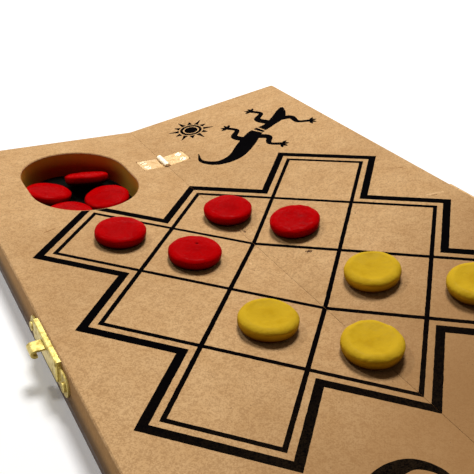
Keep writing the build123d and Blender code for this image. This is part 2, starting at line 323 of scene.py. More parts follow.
def mark_group():
    """1 on a straight mark from Start to End and 0 beyond half its Width: the distance from the
    point to its nearest place on the line, with ragged edges from a little noise."""
    places = {"Vector": "Vector", "Start": "Vector", "End": "Vector", "Width": "Float"}
    tree, given, result = new_group("straight_mark", places, {"Mark": "Float"})
    here, start, end, width = given.outputs[:4]
    away = vector_step(tree, "SUBTRACT", here, start)
    run = vector_step(tree, "SUBTRACT", end, start)
    along = vector_step(tree, "DOT_PRODUCT", away, run)
    size = number_step(tree, "MAXIMUM", vector_step(tree, "DOT_PRODUCT", run, run), shortest_run)
    share = put(tree, "ShaderNodeClamp", {0: number_step(tree, "DIVIDE", along, size)}).outputs[0]
    gap = vector_step(tree, "DISTANCE", away, vector_step(tree, "SCALE", run, share))
    ragged = stretch(tree, noise(tree, here, ragged_closeness, 2.0), cloud_extent, ragged_half)
    half = number_step(tree, "MULTIPLY", width, ragged)
    inside = number_step(tree, "DIVIDE", gap, half)
    tree.links.new(stretch(tree, inside, mark_edge), result.inputs["Mark"])
    return tree


straight_mark = mark_group()
board_marks = {
    "left": [
        ((-0.0085, 0.0112), (-0.0085, 0.0120), 0.0008, fibre_pale),
        ((-0.0310, -0.0420), (-0.0262, -0.0455), 0.0003, fibre_dark),
        ((-0.0705, 0.0640), (-0.0660, 0.0655), 0.0004, fibre_dark),
        ((-0.0140, -0.0640), (-0.0140, -0.0640), 0.0010, speck_brown),
    ],
    "right": [
        ((0.0137, 0.0066), (0.0146, 0.0060), 0.0013, speck_brown),
        ((0.0012, 0.0128), (0.0024, 0.0086), 0.0004, fibre_dark),
        ((0.0006, 0.0372), (0.0030, 0.0336), 0.0004, fibre_dark),
        ((0.0012, 0.0338), (0.0016, 0.0326), 0.0007, speck_brown),
        ((0.0750, 0.0086), (0.0815, 0.0064), 0.0009, fibre_pale),
        ((0.0762, 0.0070), (0.0790, 0.0062), 0.0006, fibre_dark),
        ((0.0790, 0.0340), (0.0826, 0.0322), 0.0005, fibre_dark),
        ((0.0440, 0.0920), (0.0440, 0.0920), 0.0009, speck_brown),
    ],
}


def panel_coordinates(tree, side):
    """Object coordinates turned into the half's own frame: fold at X = 0, play face at Z = 0."""
    lift = raised_axis if side == "right" else 0.0
    turn = -raised_angle if side == "right" else 0.0
    mapping = put(tree, "ShaderNodeMapping", {"Vector": object_place(tree)}, vector_type="TEXTURE")
    mapping.inputs["Location"].default_value = (fold_across, 0.0, half_thickness + lift)
    mapping.inputs["Rotation"].default_value = (0.0, turn, 0.0)
    return mapping.outputs[0]


mottle_span = (0.02, 1.00)
fibre_span = (0.0, 0.9)
fibre_share = (0.45, 0.06)
worn_closeness = 14.0
worn_span = (0.42, 0.78)
worn_share = (0.0, 0.34)
# Painted shade: where the browner belt near the front lies, and how it breaks into patches.
shade_belt_slope = (0.45, -0.9, 0.0)
shade_belt_from = (0.015, 0.085)
shade_belt_share = (0.0, 0.94)
shade_belt_until = (0.165, 0.095)
shade_patch_span = (0.2, 0.6)
shade_patch_share = (0.8, 1.0)


def board_skin(tree, place, fibres, side):
    """The play face's colour: tan fibres over soft mottling, browner in worn patches, with dark
    specks and a few scratches and stains. A browner belt near the front, in patches, is painted shade."""
    tone = blend_colour(tree, stretch(tree, fibres["Mottle"], mottle_span), fibre_tan, fibre_pale)
    tone = blend_colour(tree, stretch(tree, fibres["Fibres"], fibre_span, fibre_share), tone, fibre_dark)
    worn = noise(tree, place, worn_closeness, 5.0)
    tone = blend_colour(tree, stretch(tree, worn, worn_span, worn_share), tone, worn_and_shaded_brown)
    # Painted shade: a browner belt towards the front, broken into patches.
    near_front = vector_step(tree, "DOT_PRODUCT", place, shade_belt_slope)
    begins = stretch(tree, near_front, shade_belt_from, shade_belt_share)
    shade_belt = number_step(tree, "MULTIPLY", begins, stretch(tree, near_front, shade_belt_until))
    front_shade = number_step(tree, "MULTIPLY", shade_belt, stretch(tree, worn, shade_patch_span, shade_patch_share))
    tone = blend_colour(tree, front_shade, tone, worn_and_shaded_brown)
    tone = blend_colour(tree, fibres["Specks"], tone, speck_brown)
    for start, end, width, mark_colour in board_marks[side]:
        ends = {"Vector": place, "Start": (*start, 0.0), "End": (*end, 0.0), "Width": width}
        mark = put(tree, "ShaderNodeGroup", ends, node_tree=straight_mark)
        tone = blend_colour(tree, mark.outputs[0], tone, mark_colour)
    return tone


cut_fibre_share = (0.45, 0.0)
cut_mottle_share = (0.0, 0.35)
# Painted shade: where the bottom of the cut walls turns grey.
wall_shade_depth = (-0.0045, -0.0105)
wall_shade_share = (0.0, 0.70)
# Painted light: how far the lighter olive of the pocket's walls reaches.
pocket_reach = (0.036, 0.034)
# Painted red reflection and shade: where it lies on the left pocket's far wall.
far_wall_way = (0.445, 0.896, 0.0)
far_wall_reach = (0.008, 0.026)
bounce_depth = (-0.0015, -0.0080)
bounce_share = (0.0, 0.93)


def board_wall(tree, place, depth, fibres, side):
    """The cut walls' colour: brown, turning grey towards the bottom as painted shade, and a lighter
    olive on the pocket's walls as painted light. Low on the left pocket's far wall, dark red is
    painted as the red light the men throw onto it and as shade."""
    frayed = stretch(tree, fibres["Fibres"], (0.0, 1.0), cut_fibre_share)
    patchy = stretch(tree, fibres["Mottle"], cloud_extent, cut_mottle_share)
    tone = blend_colour(tree, patchy, blend_colour(tree, frayed, sawn_brown, fibre_dark), fibre_tan)
    # Painted shade: grey towards the bottom of the wall.
    tone = blend_colour(tree, stretch(tree, depth, wall_shade_depth, wall_shade_share), tone, wall_shade_grey)
    sign = -1.0 if side == "left" else 1.0
    centre = (sign * pocket_from_fold, -sign * pocket_along, -pocket_middle_depth)
    from_centre = vector_step(tree, "SUBTRACT", place, centre)
    in_pocket = stretch(tree, vector_step(tree, "LENGTH", from_centre), pocket_reach)
    # Painted light: a lighter olive on the pocket's walls.
    tone = blend_colour(tree, in_pocket, tone, pocket_light_olive)
    if side == "left":
        # Painted red reflection and shade, low on the far wall.
        away = vector_step(tree, "DOT_PRODUCT", from_centre, far_wall_way)
        far_wall = number_step(tree, "MULTIPLY", in_pocket, stretch(tree, away, far_wall_reach))
        red_bounce = number_step(tree, "MULTIPLY", far_wall, stretch(tree, depth, bounce_depth, bounce_share))
        tone = blend_colour(tree, red_bounce, tone, red_bounce_shade)
    return tone


skin_depth = (-0.0011, -0.0005)
board_rough = (0.62, 0.80)
board_gloss = 0.05
board_relief = (0.35, 0.00008)


def fibreboard(side):
    """The board's finish: tan skin on the face, darker where it was cut."""
    material, tree, shader = new_material(f"{side}_fibreboard")
    place = panel_coordinates(tree, side)
    fibres = fibres_at(tree, place)
    depth = put(tree, "ShaderNodeSeparateXYZ", {0: place}).outputs["Z"]
    wall = board_wall(tree, place, depth, fibres, side)
    skin = board_skin(tree, place, fibres, side)
    tone = blend_colour(tree, stretch(tree, depth, skin_depth), wall, skin)
    tree.links.new(tone, shader.inputs["Base Color"])
    tree.links.new(stretch(tree, fibres["Mottle"], mottle_extent, board_rough), shader.inputs["Roughness"])
    shader.inputs["Specular IOR Level"].default_value = board_gloss
    height = number_step(tree, "ADD", fibres["Fibres"], fibres["Mottle"])
    raise_grain(tree, shader, height, board_relief)
    return material


seam_draw = 0.00004
seam_reach = 0.0002


def close_seam(work, side):
    """Draws the fold edge of the play face a hair nearer to the other half, so that the two
    skins meet in the fine line that worn boards show."""
    sign = 1.0 if side == "left" else -1.0
    rise = raised_angle if side == "right" else 0.0
    lift = raised_axis if side == "right" else 0.0
    for vert in work.verts:
        across = vert.co.x - fold_across
        height = vert.co.z - half_thickness - lift
        along = across * math.cos(rise) + height * math.sin(rise)
        level = height * math.cos(rise) - across * math.sin(rise)
        if abs(along) < seam_reach and level > -seam_reach:
            vert.co.x += sign * seam_draw * math.cos(rise)
            vert.co.z += sign * seam_draw * math.sin(rise)


weld_distance = 1e-6
flat_angle = math.radians(0.6)
sharp_angle = math.radians(28)
edge_segments = 2


def eased(node, radius, material, seam=None):
    """A copy of a CAD solid, its triangles merged into whole faces and its edges rounded."""
    mesh = nodes[node].data.copy()
    mesh.name = f"{node}_finished"
    mesh.materials.clear()
    mesh.materials.append(material)
    work = bmesh.new()
    work.from_mesh(mesh)
    bmesh.ops.remove_doubles(work, verts=work.verts, dist=weld_distance)
    bmesh.ops.dissolve_limit(work, angle_limit=flat_angle, verts=work.verts, edges=work.edges)
    for face in work.faces:
        face.smooth = True
        face.material_index = 0
    if seam:
        close_seam(work, seam)
    for edge in work.edges:
        edge.smooth = not edge.is_manifold or edge.calc_face_angle(0.0) < sharp_angle
    work.to_mesh(mesh)
    work.free()
    piece = bpy.data.objects.new(f"{node}_finished", mesh)
    bpy.context.scene.collection.objects.link(piece)
    round_over = piece.modifiers.new("rounded_edges", "BEVEL")
    round_over.width = radius
    round_over.segments = edge_segments
    round_over.limit_method = "ANGLE"
    round_over.angle_limit = sharp_angle
    round_over.harden_normals = True
    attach(piece, body_of(nodes[node])[0])
    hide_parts(node)


board_edge = 0.00002
for side in ("left", "right"):
    eased(f"{side}_board", board_edge, fibreboard(side), side)


# The hardboard backs
# A 3 mm sheet of dark tempered hardboard is glued under each half and closes the pocket. Its
# face is near chocolate brown, smooth, with a faint mesh of paler fibres.
back_brown = (0.070, 0.036, 0.018, 1.0)
back_pale = (0.150, 0.085, 0.045, 1.0)
back_fibre_span = (0.2, 1.0)
back_fibre_share = (0.0, 0.6)
back_rough = (0.42, 0.62)
back_relief = (0.3, 0.00005)
hardboard, tree, shader = new_material("dark_hardboard")
fibres = fibres_at(tree, object_place(tree))
meshed = stretch(tree, fibres["Fibres"], back_fibre_span, back_fibre_share)
tree.links.new(blend_colour(tree, meshed, back_brown, back_pale), shader.inputs["Base Color"])
tree.links.new(stretch(tree, fibres["Mottle"], mottle_extent, back_rough), shader.inputs["Roughness"])
raise_grain(tree, shader, fibres["Fibres"], back_relief)
for side in ("left", "right"):
    eased(f"{side}_base", board_edge, hardboard)


# The printed grid
# Screen-printed black ink, a few hundredths of a millimetre proud: 13 slanting cells ruled in
# thin lines inside a heavy stepped outline. The stencil leaves slightly ragged edges.
cell = 0.0336
thin = 0.0016
outline_near = 0.0030
outline_far = 0.0060
ink_bottom = 0.00001
ink_tops = {"one_way": 0.00005, "other_way": 0.00007, "outline": 0.00009}
ink_at_fold = 0.00006
ink_step = 0.0006
ink_rag = 0.00004
rag_smoothing = [0.25, 0.5, 0.25]
ladder_step = 0.00005
ladder_fewest = 10
pocket_round = 0.02365
pocket_half_straight = 0.0069
pocket_ink_gap = 0.0008
ink_black = (0.0012, 0.0009, 0.0012, 1.0)
ink_seeds = {"left": 7, "right": 8}
root_two = math.sqrt(2.0)


def to_half(points, side):
    """Panel coordinates, drawn for the left half, put in the row frame on either half."""
    points = np.asarray(points, dtype=float)
    if side == "left":
        return points + (fold_across, 0.0, half_thickness)
    turned = points * (-1.0, -1.0, 1.0) - (0.0, 0.0, raised_axis)
    rise = math.sin(raised_angle)
    run = math.cos(raised_angle)
    across = turned[:, 0] * run - turned[:, 2] * rise + fold_across
    height = turned[:, 0] * rise + turned[:, 2] * run + fold_height
    return np.column_stack([across, turned[:, 1], height])


def ink_strip(one_edge, other_edge, top):
    """A closed film between two lines of n points each: four rails of points, two at the top and
    two at the bottom, joined along the length by n - 1 rings of four faces, with a face at each
    end."""
    count = len(one_edge)
    flat = np.concatenate([one_edge, other_edge, other_edge, one_edge])
    level = np.repeat([top, top, ink_bottom, ink_bottom], count)
    verts = np.column_stack([flat, level])
    start = np.arange(count - 1)
    faces = []
    for rail in range(4):
        low = rail * count + start
        high = (rail + 1) % 4 * count + start
        faces.append(np.column_stack([low, high, high + 1, low + 1]))
    first_end = np.array([0, 3, 2, 1]) * count
    last_end = np.array([1, 2, 3, 4]) * count - 1
    return verts, np.concatenate(faces + [[first_end, last_end]])


def joined(parts, name, material):
    """One mesh object from several (points, faces) pairs."""
    offset = 0
    verts = []
    faces = []
    for points, quads in parts:
        verts.append(points)
        faces.extend((quads + offset).tolist())
        offset += len(points)
    mesh = bpy.data.meshes.new(name)
    mesh.from_pydata(np.concatenate(verts).tolist(), [], faces)
    mesh.materials.append(material)
    piece = bpy.data.objects.new(name, mesh)
    bpy.context.scene.collection.objects.link(piece)
    work = bmesh.new()
    work.from_mesh(mesh)
    bmesh.ops.recalc_face_normals(work, faces=work.faces)
    work.to_mesh(mesh)
    work.free()
    return piece


def kept_stretch(start, end):
    """The longest run of the line from start to end that lies on the left half and clear of
    its pocket, found on a fine ladder of points; None where there is none."""
    start = np.asarray(start, dtype=float)
    end = np.asarray(end, dtype=float)
    share = np.linspace(0.0, 1.0, 1 + int(np.linalg.norm(end - start) / ladder_step))
    points = start + share[:, None] * (end - start)
    beyond = np.maximum(np.abs(points[:, 1] - pocket_along) - pocket_half_straight, 0.0)
    from_pocket = np.hypot(points[:, 0] + pocket_from_fold, beyond) - pocket_round
    good = (points[:, 0] < -ink_at_fold) & (from_pocket > pocket_ink_gap)
    edges = np.flatnonzero(np.diff(np.concatenate([[0], good.astype(int), [0]])))
    runs = [(last - first, first, last - 1) for first, last in zip(edges[::2], edges[1::2])]
    if not runs or max(runs)[0] < ladder_fewest:
        return None
    _, first, last = max(runs)
    return points[first], points[last]


def ruled(corners, top, draws):
    """A straight printed line: corners gives both ends of one edge, then of the other, in the
    slanted grid's own axes. Its edges wander by smoothed random steps."""
    turned = [((p - q) / root_two, (p + q) / root_two) for p, q in corners]
    one = kept_stretch(turned[0], turned[1])
    other = kept_stretch(turned[2], turned[3])
    if one is None or other is None:
        return None
    length = max(np.linalg.norm(one[1] - one[0]), np.linalg.norm(other[1] - other[0]))
    count = max(3, int(length / ink_step))
    share = np.linspace(0.0, 1.0, count)[:, None]
    rails = []
    for start, end in (one, other):
        along = (end - start) / np.linalg.norm(end - start)
        side = np.array([-along[1], along[0]])
        jitter = np.convolve(draws.normal(0.0, 1.0, count + 2), rag_smoothing, "valid")
        jitter[[0, -1]] = 0.0
        rails.append(start + share * (end - start) + side * (jitter * ink_rag)[:, None])
    return ink_strip(rails[0], rails[1], top)


def grid_lines():
    """Edge corners of every printed line in the slanted axes, with the height of the film's top.
    The six lines each way stand at odd half cells, and the outline is a quarter turned round
    four times, drawn between two offsets along its mitres."""
    lines = []
    for index in range(6):
        level = (index - 2.5) * cell
        reach = (2.5, 1.5, 0.5)[int(abs(index - 2.5))] * cell + thin / 2
        low = level - thin / 2
        high = level + thin / 2
        lines.append((((low, -reach), (low, reach), (high, -reach), (high, reach)), ink_tops["one_way"]))
        lines.append((((-reach, low), (reach, low), (-reach, high), (reach, high)), ink_tops["other_way"]))
    quarter = [(2.5, -0.5), (2.5, 0.5), (1.5, 0.5), (1.5, 1.5), (0.5, 1.5)]
    corners = []
    for turn in range(4):
        run = round(math.cos(turn * math.pi / 2))
        rise = round(math.sin(turn * math.pi / 2))
        corners += [(p * run - q * rise, p * rise + q * run) for p, q in quarter]
    corners = np.array(corners) * cell
    step = np.roll(corners, -1, axis=0) - corners
    outward = np.column_stack([step[:, 1], -step[:, 0]]) / np.linalg.norm(step, axis=1)[:, None]
    mitre = outward + np.roll(outward, 1, axis=0)
    for index in range(len(corners)):
        pair = [index, (index + 1) % len(corners)]
        near, far = (corners[pair] + offset * mitre[pair] for offset in (outline_near, outline_far))
        lines.append(((*near, *far), ink_tops["outline"]))
    return lines


rubbed_along = (-0.13, -0.02)
rubbed_share = (0.04, 0.0)
ink_rough = (0.50, 0.72)
ink_gloss = 0.002
ink_relief = (0.3, 0.00006)


def ink_material():
    """Black ink sunk a little into the fibres, thinner where hands have rubbed it."""
    material, tree, shader = new_material("printed_ink")
    place = object_place(tree)
    fibres = fibres_at(tree, place)
    along = put(tree, "ShaderNodeSeparateXYZ", {0: place}).outputs["Y"]
    rubbed = stretch(tree, along, rubbed_along, rubbed_share)
    showing = number_step(tree, "MULTIPLY", rubbed, fibres["Fibres"])
    tree.links.new(blend_colour(tree, showing, ink_black, fibre_tan), shader.inputs["Base Color"])
    tree.links.new(stretch(tree, fibres["Mottle"], mottle_extent, ink_rough), shader.inputs["Roughness"])
    shader.inputs["Specular IOR Level"].default_value = ink_gloss
    raise_grain(tree, shader, fibres["Fibres"], ink_relief)
    return material


drawn_unit = -0.001
stroke_fewest = 10
stroke_more = 46
stroke_rag = 0.00002
ring_turns = 73
ring_rag = 0.02


def inked_stroke(corners, widths, top, draws, span=(0.0, 1.0)):
    """A brush stroke: a Catmull-Rom line through the corners, as wide as widths says at even
    shares of its length, of which only the part within span is printed."""
    corners = np.asarray(corners, dtype=float) * drawn_unit
    guide = np.concatenate([2 * corners[:1] - corners[1:2], corners, 2 * corners[-1:] - corners[-2:-1]])
    count = int(stroke_fewest + stroke_more * (span[1] - span[0]))
    place = np.linspace(span[0], span[1], count) * (len(corners) - 1)
    piece = np.minimum(place.astype(int), len(corners) - 2)
    part = (place - piece)[:, None]
    before, start, end, after = (guide[piece + step] for step in range(4))
    line = 0.5 * (
        2 * start + (end - before) * part + (2 * before - 5 * start + 4 * end - after) * part**2
        + (3 * start - before - 3 * end + after) * part**3
    )
    along = np.gradient(line, axis=0)
    along /= np.linalg.norm(along, axis=1)[:, None]
    side = np.column_stack([-along[:, 1], along[:, 0]])
    shares = np.linspace(0, 1, len(widths))
    half = np.interp(place / (len(corners) - 1), shares, widths) * abs(drawn_unit) / 2
    rails = []
    for sign in (1, -1):
        rails.append(line + sign * side * (half + draws.normal(0, stroke_rag, len(line)))[:, None])
    return ink_strip(rails[0], rails[1], top)


def inked_ring(centre, near, far, top, draws):
    """A printed ring, drawn as a strip between two circles that meets itself end to end."""
    turn = np.linspace(0.0, 2 * math.pi, ring_turns)
    circle = np.column_stack([np.cos(turn), np.sin(turn)])
    wander = draws.normal(0.0, ring_rag, ring_turns)
    wander[-1] = wander[0]
    middle = np.array(centre) * drawn_unit
    rails = [middle + circle * (radius + wander)[:, None] * abs(drawn_unit) for radius in (far, near)]
    return ink_strip(rails[0], rails[1], top)


lizard_spine = [
    (17, 104), (15, 96.5), (20.5, 90), (30, 90.5), (40, 97.5), (50, 105), (60, 108), (69, 113), (76, 121)
]
lizard_girth = [
    0.4, 1.2, 2.0, 2.7, 3.4, 4.4, 6.0, 7.6, 8.6, 8.6, 7.8, 6.6, 5.0, 4.6, 6.2, 6.6, 5.2, 1.6
]
lizard_bands = [(0.0, 0.640), (0.652, 0.672), (0.684, 1.0)]
lizard_limbs = [
    [(43, 101), (39.5, 108), (44, 113.5), (41.5, 118.5)],
    [(47, 102.5), (52.5, 97), (49.5, 91), (53.5, 86.5)],
    [(62, 109), (58.5, 117), (63.5, 122), (61, 127.5)],
    [(66, 111), (73, 108), (73, 101.5), (78, 98)],
]
limb_girth = [4.4, 3.9, 2.9, 2.2, 2.4]
toe_turns = (-66, -24, 24, 66)
toe_length = 3.8
toe_girth = [1.7, 1.2, 1.6, 0.4]
toe_top = 0.00003
toe_top_step = 0.000005
sun_centre = (26.0, 130.0)
sun_rings = [(0.05, 3.4), (4.2, 5.6)]
sun_rays = 12
sun_first_ray = 9
ray_start = 6.4
ray_waist = 7.6
ray_tips = (9.4, 11.6)
ray_girth = [2.7, 2.2, 1.3, 0.3]
limb_top = 0.00006
sun_top = 0.00008


def motifs(draws):
    """The two printed ornaments beyond the grid's corner: a lizard and a small sun. Millimetres
    from the board's middle on the raised half; the other half has them turned half round."""
    strokes = []
    for span in lizard_bands:
        strokes.append(inked_stroke(lizard_spine, lizard_girth, ink_tops["outline"], draws, span))
    for limb in lizard_limbs:
        strokes.append(inked_stroke(limb, limb_girth, limb_top, draws))
        foot = np.array(limb[-1])
        ahead = foot - np.array(limb[-2])
        ahead = ahead / np.linalg.norm(ahead)
        across = np.array([-ahead[1], ahead[0]])
        for turn in toe_turns:
            angle = math.radians(turn)
            reach = ahead * math.cos(angle) + across * math.sin(angle)
            toe = [foot, foot + toe_length / 2 * reach, foot + toe_length * reach]
            top = toe_top + toe_top_step * (turn - toe_turns[0]) / (toe_turns[1] - toe_turns[0])
            strokes.append(inked_stroke(toe, toe_girth, top, draws))
    for near, far in sun_rings:
        strokes.append(inked_ring(sun_centre, near, far, sun_top, draws))
    for number in range(sun_rays):
        angle = math.radians(360 / sun_rays * number + sun_first_ray)
        ray = np.array([math.cos(angle), math.sin(angle)])
        line = [sun_centre + reach * ray for reach in (ray_start, ray_waist, ray_tips[number % 2])]
        strokes.append(inked_stroke(line, ray_girth, limb_top, draws))
    return strokes


printed_ink = ink_material()
for side in ("left", "right"):
    draws = np.random.default_rng(ink_seeds[side])
    strips = [ruled(corners, top, draws) for corners, top in grid_lines()]
    strips = [strip for strip in strips if strip] + motifs(draws)
    strips = [(to_half(points, side), faces) for points, faces in strips]
    grid = joined(strips, f"{side}_grid_ink", printed_ink)
    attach(grid, f"{side}_half")
    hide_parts(f"{side}_grid_print")


# The pockets' felt
# A round-ended piece of thin blackish-green felt lies glued on the back in each pocket. Its
# surface is an uneven mat of short fuzz.
felt_level = -0.0116
felt_thickness = 0.0004
felt_round = pocket_round - 0.0003
felt_rings = 26
felt_turns = 160
felt_crowding = 0.8
felt_parting = 6.0
felt_nap = 0.00003
felt_sink = 0.00004
felt_rim_sink = 0.0001
felt_bottom_gap = 0.00002
felt_dark = (0.0008, 0.0012, 0.0009, 1.0)
felt_pale = (0.0055, 0.0075, 0.0052, 1.0)
felt_relief = (0.8, 0.0002)
felt_shine = {"Roughness": 0.95, "Specular IOR Level": 0.01, "Sheen Weight": 0.02, "Sheen Roughness": 0.6}
felt_seeds = {"left": 20, "right": 21}


def felt_mesh(draws):
    """A disc grid stretched into a slot with round ends: point = share of the radius times the
    unit circle, the two halves moved apart along Y, with a low random nap on the upper face. A
    skirt goes down from the rim to one flat bottom face."""
    turn = np.linspace(0.0, 2.0 * math.pi, felt_turns, endpoint=False)
    share = np.linspace(0.0, 1.0, felt_rings) ** felt_crowding
    across = np.outer(share, np.cos(turn)) * felt_round
    along = np.outer(share, np.sin(turn)) * felt_round
    apart = pocket_half_straight * np.minimum(1.0, share[:, None] * felt_parting)
    along = along + np.sign(np.sin(turn)) * apart
    nap = draws.normal(0.0, felt_nap, across.shape)
    nap[0] = nap[0].mean()
    top = felt_level + nap - felt_sink
    top[-1] = felt_level - felt_rim_sink
    bottom = np.full(felt_turns, felt_level - felt_thickness + felt_bottom_gap)
    upper = np.column_stack([across.ravel(), along.ravel(), top.ravel()])
    skirt = np.column_stack([across[-1], along[-1], bottom])
    points = np.concatenate([upper, skirt]) + (-pocket_from_fold, pocket_along, 0.0)
    index = np.arange(felt_turns)
    ahead = np.roll(index, -1)
    faces = []
    for ring in range(felt_rings):
        inner = ring * felt_turns
        outer = (ring + 1) * felt_turns
        faces.append(np.column_stack([inner + index, outer + index, outer + ahead, inner + ahead]))
    under = (felt_rings * felt_turns + index)[::-1].tolist()
    return points, np.concatenate(faces).tolist() + [under]


def felt_material():
    """Dark green-black wool with a soft sheen."""
    material, tree, shader = new_material("pocket_felt")
    fibres = fibres_at(tree, object_place(tree))
    tree.links.new(blend_colour(tree, fibres["Fibres"], felt_dark, felt_pale), shader.inputs["Base Color"])
    for socket, value in felt_shine.items():
        shader.inputs[socket].default_value = value
    raise_grain(tree, shader, fibres["Fibres"], felt_relief)
    return material


pocket_felt = felt_material()
for side in ("left", "right"):
    draws = np.random.default_rng(felt_seeds[side])
    points, faces = felt_mesh(draws)
    mesh = bpy.data.meshes.new(f"{side}_felt")
    mesh.from_pydata(to_half(points, side).tolist(), [], faces)
    mesh.materials.append(pocket_felt)
    work = bmesh.new()
    work.from_mesh(mesh)
    bmesh.ops.remove_doubles(work, verts=work.verts, dist=weld_distance)
    bmesh.ops.recalc_face_normals(work, faces=work.faces)
    for face in work.faces:
        face.smooth = len(face.verts) <= 4
    work.to_mesh(mesh)
    work.free()
    felt = bpy.data.objects.new(f"{side}_felt", mesh)
    bpy.context.scene.collection.objects.link(felt)
    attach(felt, f"{side}_half")
    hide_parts(f"{side}_pocket_felt")


# The brass fittings
# Two butt hinges across the fold, a hooked catch and a hasp, all thin pressed metal with a brass
# plating: pale and rubbed on the hinges, yellow on the catch, dull on the hasp. Screws hold them.
leaf_brass = (0.520, 0.345, 0.170, 1.0)
bright_brass = (0.880, 0.780, 0.580, 1.0)
yellow_brass = (0.580, 0.460, 0.150, 1.0)
worn_brass = (0.430, 0.270, 0.120, 1.0)
olive_tarnish = (0.200, 0.135, 0.018, 1.0)
brown_tarnish = (0.330, 0.200, 0.080, 1.0)
tarnish_closeness = 420.0
tarnish_roughness = 0.6
tarnish_span = (0.42, 0.70)
tarnish_share = (0.0, 0.85)
rubbed_height = (0.0002, 0.0012)
dulling_span = (0.35, 0.75)
dulling = 0.22
scuff_closeness = 2400.0
scuff_relief = (0.25, 0.00004)


def brass_material(name, clean, tarnished, rough, raised_side=None):
    """Brass plating, tarnished in blotches, with fine rubbed marks. On a leaf, what stands
    above the play face of its half is rubbed bright."""
    material, tree, shader = new_material(name)
    place = object_place(tree)
    blotch = noise(tree, place, tarnish_closeness, 4.0, tarnish_roughness)
    tone = blend_colour(tree, stretch(tree, blotch, tarnish_span, tarnish_share), clean, tarnished)
    if raised_side:
        height = put(tree, "ShaderNodeSeparateXYZ", {0: panel_coordinates(tree, raised_side)}).outputs["Z"]
        tone = blend_colour(tree, stretch(tree, height, rubbed_height), tone, bright_brass)
    tree.links.new(tone, shader.inputs["Base Color"])
    shader.inputs["Metallic"].default_value = 1.0
    uneven = stretch(tree, blotch, dulling_span, (rough, rough + dulling))
    tree.links.new(uneven, shader.inputs["Roughness"])
    raise_grain(tree, shader, noise(tree, place, scuff_closeness, 3.0), scuff_relief)
    return material


brass_edge = 0.00012
polished = brass_material("rubbed_brass", bright_brass, leaf_brass, 0.30)
yellowed = brass_material("yellow_brass", yellow_brass, olive_tarnish, 0.36)
dulled = brass_material("dull_brass", worn_brass, brown_tarnish, 0.48)
fittings = {}
for side in ("left", "right"):
    leaf = brass_material(f"{side}_leaf_brass", leaf_brass, brown_tarnish, 0.42, side)
    fittings |= {f"{place}_hinge_{side}_leaf": leaf for place in ("front", "back")}
    fittings[f"hinge_screws_{side}"] = polished
fittings |= dict.fromkeys(["front_hinge_pin", "back_hinge_pin"], polished)
fittings |= dict.fromkeys(["catch_plate", "catch_screws"], yellowed)
fittings |= dict.fromkeys(["hasp_plate", "hasp_screws", "hasp_tongue", "hasp_pin"], dulled)
for fitting, finish in fittings.items():
    eased(fitting, brass_edge, finish)


# The men
# Sixteen turned wooden discs, dipped by hand in thick enamel: eight red and eight yellow. The
# paint has pooled, so each is a little lumpy with soft shoulders. Red tops are domed, yellow dished.
man_radius = 0.01025
man_half_thickness = 0.0027
man_top = 0.0076
man_foot = 0.0078
shoulder_fall = 0.0019
widest_level = -0.0002
side_fullness = (0.9, 1.15)
man_turns = 150
crown_rings = 30
shoulder_rings = 11
under_rings = 14
foot_rings = 6
crowns = {"red": 0.00045, "yellow": -0.00050}
seed_starts = {"red": 100, "yellow": 0}
lump_waves = 10
lump_closeness = 330.0
lump_phase = 6.3
lump_height = 0.000042
lump_sink = 0.8
lump_beyond = 0.004
pock_counts = {"red": 14, "yellow": 3, "red_disc_2": 90}
pock_widths = (0.00035, 0.0009)
pock_depths = (0.00003, 0.00010)
pock_spread = 0.009
pock_end = 0.0004
fading_height = 0.0012
bored_men = {"red_disc_4": (0.0018, 0.0020)}
bore_width = 0.00036
bore_depth = 0.00050
bore_shade = 0.9
oval_share = 0.010


def man_profile(crown):
    """Half a section as (radius, height): out along a top that is domed or dished by crown, over
    a round shoulder, down the side, in under a quarter ellipse, and along the foot."""
    share = np.linspace(0.0, 1.0, crown_rings)
    bend = np.linspace(0.0, math.pi / 2, shoulder_rings)[1:]
    under = np.linspace(0.0, math.pi / 2, under_rings)
    drop = crown * share**2 if crown > 0 else crown * (share**3 - 1.0)
    edge_drop = max(crown, 0.0)
    fall = (shoulder_fall - edge_drop) * (1.0 - np.cos(bend))
    low = -man_half_thickness
    radius = np.concatenate([
        man_top * share,
        man_top + (man_radius - man_top) * np.sin(bend),
        man_foot + (man_radius - man_foot) * np.cos(under) ** side_fullness[0],
        np.linspace(man_foot, 0.0, foot_rings)[1:],
    ])
    height = np.concatenate([
        man_half_thickness - drop,
        man_half_thickness - edge_drop - fall,
        widest_level + (low - widest_level) * np.sin(under) ** side_fullness[1],
        np.full(foot_rings - 1, low),
    ])
    return radius, height


